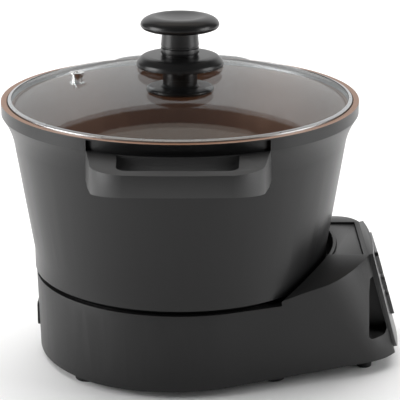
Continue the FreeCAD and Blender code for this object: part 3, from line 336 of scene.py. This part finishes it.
turned("knob_skirt", [
    (0, washer_top, 0), (neck_r, washer_top, 0), (flange_r - 0.002, flange_low.z + 0.0002, 0),
    (flange_r, flange_low.z + 0.0004, 0.0005), (flange_r, flange_high.z - 0.0052, 0.0012),
    (flange_r - 0.0045, flange_high.z - 0.0006, 0.0015), (flange_r - 0.009, flange_high.z, 0.001),
    (0, flange_high.z, 0)], "knob_flange")
inner_low, inner_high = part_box("inner_knob")
disc_r, disc_top = (inner_high.x - inner_low.x) / 2, inner_low.z + 0.0035
post_r, root, side_round = 0.0137, 0.002, 0.0018
disc_middle, disc_half = (inner_low.z + disc_top) / 2, (disc_top - inner_low.z) / 2
turns = [math.pi * (step / 8 - 0.5) for step in range(9)]
disc_side = [(disc_r - side_round + side_round * math.cos(turn), disc_middle + disc_half * math.sin(turn), 0)
             for turn in turns]
turned("inner_grip", [
    (0, inner_low.z, 0), *disc_side, (post_r + root, disc_top, 0), (post_r, disc_top + root, 0),
    (post_r, inner_high.z, 0.0006), (0, inner_high.z, 0)], "inner_knob")
dressed("outer_washer", silicone)
dressed("inner_washer", silicone)
dressed("knob_screw", zinc)

# ---------------------------------------------------------------- heating base
# The housing is one black moulding with a fine spark texture: a round shell that runs into the control tower.
# The tray insert lies in the tower's top, and the bottom cover closes it on six screws, with rubber feet.
shell_plastic = satin_coat("shell_plastic", (0.011, 0.011, 0.0112), roughness=0.42, grain=1900, depth=0.00008,
                           specular=0.32)
tray_plastic = satin_coat("tray_plastic", (0.016, 0.016, 0.0162), roughness=0.36, grain=1500, depth=0.00006)
cover_plastic = satin_coat("cover_plastic", (0.018, 0.018, 0.018), roughness=0.55, grain=700, depth=0.00012)
foot_rubber = satin_coat("foot_rubber", (0.012, 0.012, 0.012), roughness=0.72, grain=600, depth=0.0001,
                         specular=0.25)
softened("base_housing", shell_plastic, "base", edge=0.0007)
softened("tray_insert", tray_plastic, "base", edge=0.0005)
softened("bottom_cover", cover_plastic, "base", edge=0.0006)
softened("base_feet", foot_rubber, "base", edge=0.0012)
softened("tower_feet", foot_rubber, "base", edge=0.001)
dressed("cover_screws", zinc)

# ---------------------------------------------------------------- heater
# A cast aluminium plate with fine lathe rings on its face and a steel-sheathed element in its groove.
# It floats in a grey silicone gasket over a bright heat shield, and a sprung cap in its middle feels the pot.
turned_face = Finish("turned_aluminium", (0.56, 0.56, 0.57), roughness=0.38, Metallic=1.0)
about_axis = turned_face.add("ShaderNodeMapping", {},
                             {"Vector": turned_face.place, "Location": (-pot_x, 0, 0)})
rings = turned_face.add("ShaderNodeTexWave", {"wave_type": "RINGS", "rings_direction": "Z"},
                        {"Vector": about_axis, "Scale": 260.0, "Distortion": 0.3})
turned_face.feed("Base Color", turned_face.mixed(rings, (0.46, 0.46, 0.47), (0.6, 0.6, 0.61)))
turned_face.feed("Roughness", turned_face.noise(40) * 0.2 + 0.28)
turned_face.bumped(rings, depth=0.00006, strength=0.5)
cap_metal = brushed_metal("sensor_cap_metal", (0.6, 0.6, 0.61), roughness=0.3, grain=400, stretch=(1, 1, 6))
sheath = brushed_metal("oxidised_sheath", (0.2, 0.18, 0.16), roughness=0.5, grain=160, stretch=(1, 1, 1))
grey_silicone = satin_coat("grey_silicone", (0.16, 0.16, 0.16), roughness=0.62, grain=700, depth=0.00008)
bright_sheet = brushed_metal("bright_sheet", (0.6, 0.61, 0.62), roughness=0.28, grain=120, stretch=(20, 1, 1))
spring_wire = brushed_metal("spring_wire", (0.42, 0.42, 0.43), roughness=0.3, grain=600, stretch=(1, 1, 1))
ceramic = satin_coat("glazed_ceramic", (0.66, 0.65, 0.6), roughness=0.25, grain=200, depth=0.00005,
                     specular=0.5)
softened("heater_plate", turned_face.material, "base", edge=0.0005)
softened("sensor_cap", cap_metal, "sensor", edge=0.0003)
dressed("heating_element", sheath)
dressed("plate_gasket", grey_silicone)
for node in ("heat_shield", "sensor_bracket", "fuse_clip"):
    dressed(node, bright_sheet)
dressed("sensor_spring", spring_wire)
dressed("thermal_fuse", ceramic)

# ---------------------------------------------------------------- power parts
# The power board carries a relay and a small transformer on four pillars inside the tower.
# Sleeved leads bring the mains from the inlet at the back, whose blades are plated brass.
solder_mask = satin_coat("solder_mask", (0.012, 0.085, 0.035), roughness=0.3, grain=260, depth=0.00012,
                         specular=0.5)
relay_case = satin_coat("relay_case", (0.02, 0.055, 0.22), roughness=0.3, grain=300, depth=0.00005,
                        specular=0.5)
wound_tape = satin_coat("wound_tape", (0.5, 0.32, 0.04), roughness=0.45, grain=200, depth=0.0002)
inlet_moulding = satin_coat("inlet_moulding", (0.01, 0.01, 0.01), roughness=0.42, grain=1100, depth=0.00008)
plated_brass = brushed_metal("plated_brass", (0.62, 0.5, 0.27), roughness=0.25, grain=500, stretch=(1, 8, 1))
woven_sleeve = satin_coat("woven_sleeve", (0.6, 0.6, 0.56), roughness=0.65, grain=1400, depth=0.0003)
dressed("power_board", solder_mask)
softened("power_relay", relay_case, "base", edge=0.0006)
softened("transformer", wound_tape, "base", edge=0.0012)
dressed("board_pillars", shell_plastic)
softened("power_inlet", inlet_moulding, "base", edge=0.0005)
dressed("inlet_blades", plated_brass)
dressed("mains_leads", woven_sleeve)

# ---------------------------------------------------------------- control panel
# A smooth satin fascia snaps over the tower's leaning front. It has a smoked window above two rows of keys.
# Behind it a board on pillars carries the display module and one small switch for each key.
fascia_plastic = satin_coat("fascia_satin", (0.02, 0.02, 0.0205), roughness=0.3, grain=1600, depth=0.00004,
                            specular=0.5)
smoked = Finish("smoked_window", (0.004, 0.004, 0.0045), roughness=0.08, Coat_Weight=0.6, Coat_Roughness=0.04)
smoked.feed("Roughness", smoked.noise(30, 3.0) * 0.06 + 0.05)
key_plastic = satin_coat("key_satin", (0.03, 0.03, 0.031), roughness=0.34, grain=1500, depth=0.00005,
                         specular=0.45)
module_case = satin_coat("module_case", (0.12, 0.12, 0.12), roughness=0.5, grain=600, depth=0.0001)
switch_case = satin_coat("switch_case", (0.02, 0.02, 0.02), roughness=0.4, grain=800, depth=0.00006)
softened("control_fascia", fascia_plastic, "base", edge=0.0009)
softened("display_window", smoked.material, "base", edge=0.0005)
for row in ("upper", "lower"):
    for number in (1, 2, 3):
        key = f"{row}_key{number}"
        softened(key, key_plastic, key, edge=0.0007)
dressed("display_module", module_case)
dressed("control_board", solder_mask)
dressed("tact_switches", switch_case)
dressed("panel_pillars", fascia_plastic)
dressed("board_screws", zinc)
